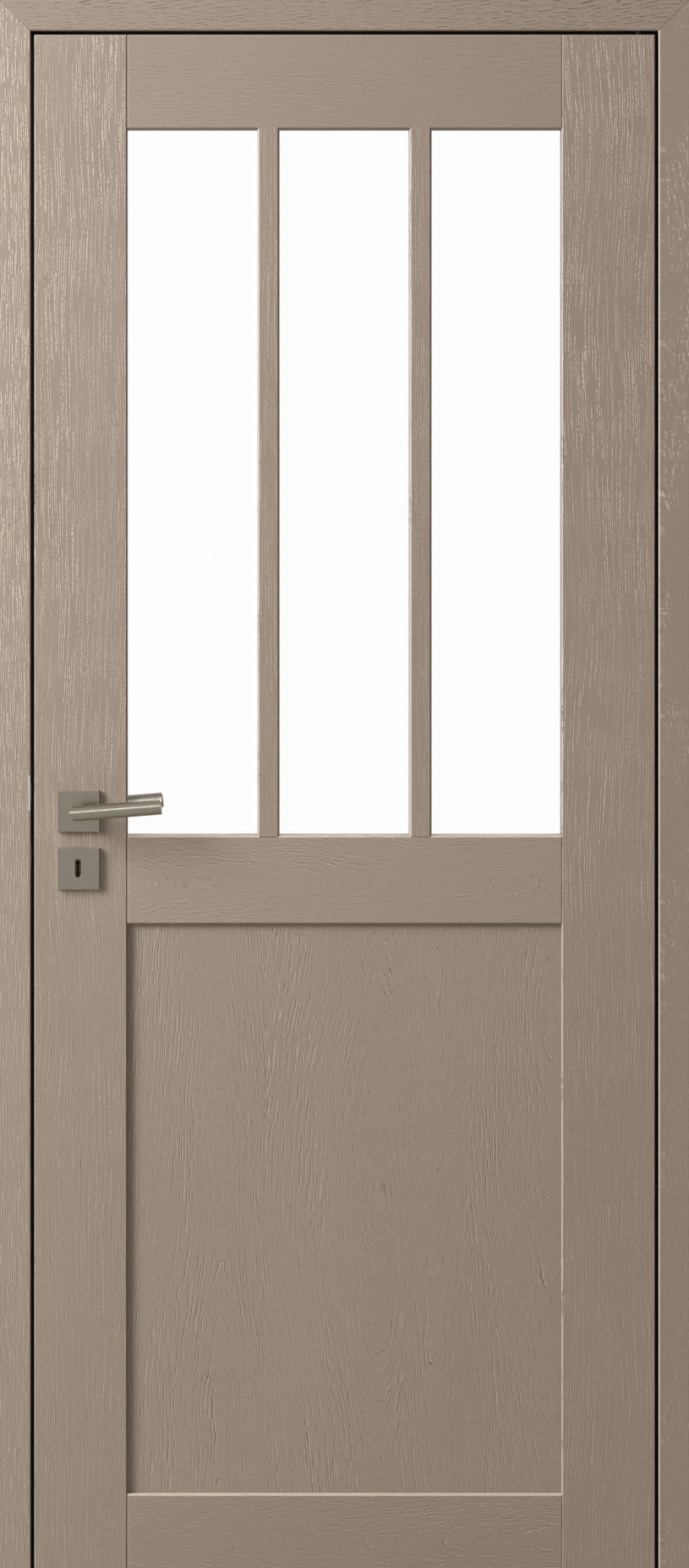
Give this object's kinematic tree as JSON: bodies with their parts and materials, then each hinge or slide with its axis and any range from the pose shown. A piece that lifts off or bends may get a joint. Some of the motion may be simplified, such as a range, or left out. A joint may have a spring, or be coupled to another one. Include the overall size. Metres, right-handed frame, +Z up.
{
  "type": "glazed interior door",
  "caption": "Painted oak stile-and-rail interior door with tall clear panes over a flat panel, in a mitred rebated frame, with mitred lever handles.",
  "frame": {"origin": "outer (wall) face of the hinge-side jamb lining, at floor level, half way through the wall's thickness", "axes": "+X out of that wall face, away from the doorway; -Y towards the room the leaf opens into (the side in the picture); +Z up"},
  "size_m": [0.93, 0.2035, 2.098],
  "materials": {
    "painted_oak": "taupe open-grain paint, satin",
    "clear_glass": "clear float glass",
    "satin_steel": "satin brushed",
    "lock_steel": "plain bright steel",
    "seal_rubber": "matt"
  },
  "bodies": {
    "frame": {"latch_jamb": "painted_oak", "hinge_jamb": "painted_oak", "head_jamb": "painted_oak", "head_stop": "painted_oak", "hinge_stop": "painted_oak", "latch_stop": "painted_oak", "front_casing_latch": "painted_oak", "front_casing_hinge": "painted_oak", "front_casing_head": "painted_oak", "back_casing_latch": "painted_oak", "back_casing_hinge": "painted_oak", "back_casing_head": "painted_oak", "latch_seal": "seal_rubber", "hinge_seal": "seal_rubber", "head_seal": "seal_rubber", "strike_plate": "satin_steel", "top_pivot_plate": "lock_steel", "bottom_pivot_bracket": "lock_steel"},
    "leaf": {"latch_stile": "painted_oak", "hinge_stile": "painted_oak", "top_rail": "painted_oak", "lock_rail": "painted_oak", "bottom_rail": "painted_oak", "lower_panel": "painted_oak", "glazing_bar_left": "painted_oak", "glazing_bar_right": "painted_oak", "glass_left": "clear_glass", "glass_middle": "clear_glass", "glass_right": "clear_glass", "glazing_beads_top": "painted_oak", "glazing_beads_bottom": "painted_oak", "glazing_beads_left": "painted_oak", "glazing_beads_right": "painted_oak", "mortise_lock": "lock_steel", "latch_bolt": "lock_steel", "dead_bolt": "lock_steel", "front_rose": "satin_steel", "back_rose": "satin_steel", "front_escutcheon": "satin_steel", "back_escutcheon": "satin_steel", "top_pivot_bush": "lock_steel", "bottom_pivot_bush": "lock_steel"},
    "levers": {"front_lever": "satin_steel", "back_lever": "satin_steel", "spindle": "lock_steel"}
  },
  "joints": [
    {"name": "door_swing", "type": "hinge", "parent": "frame", "child": "leaf", "pos_m": [-0.05, -0.063, 1], "axis": [0, 0, 1], "range_deg": [0, 110]},
    {"name": "lever_turn", "type": "hinge", "parent": "leaf", "child": "levers", "pos_m": [-0.755, -0.051, 1.047], "axis": [0, 1, 0], "range_deg": [0, 40], "stiffness_Nm_per_rad": 1.2, "springref_deg": -40.11}
  ]
}
